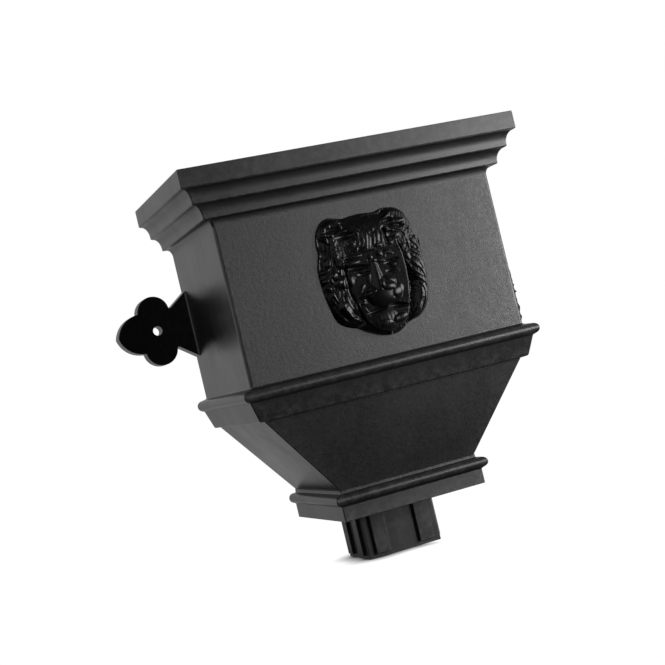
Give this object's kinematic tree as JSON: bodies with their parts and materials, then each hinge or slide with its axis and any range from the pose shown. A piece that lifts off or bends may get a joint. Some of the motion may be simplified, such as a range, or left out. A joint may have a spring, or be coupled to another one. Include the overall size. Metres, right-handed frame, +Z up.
{
  "type": "downpipe hopper head",
  "caption": "Wall-fixed rectangular hopper head with a stepped cornice, funnel, ribbed outlet, trefoil fixing ears and a lion mask.",
  "frame": {"origin": "on the wall plane, midway between the two fixing screws in the ears", "axes": "+Y into the wall, +Z up, +X to the right seen from the front; the front faces -Y"},
  "size_m": [0.371, 0.1689, 0.3346],
  "materials": {
    "cast_black": "fine sand grain in front, satin at the sides",
    "gloss_black": "glossy"
  },
  "bodies": {
    "root": {"hopper_body": "cast_black", "lion_mask": "gloss_black"}
  },
  "joints": []
}
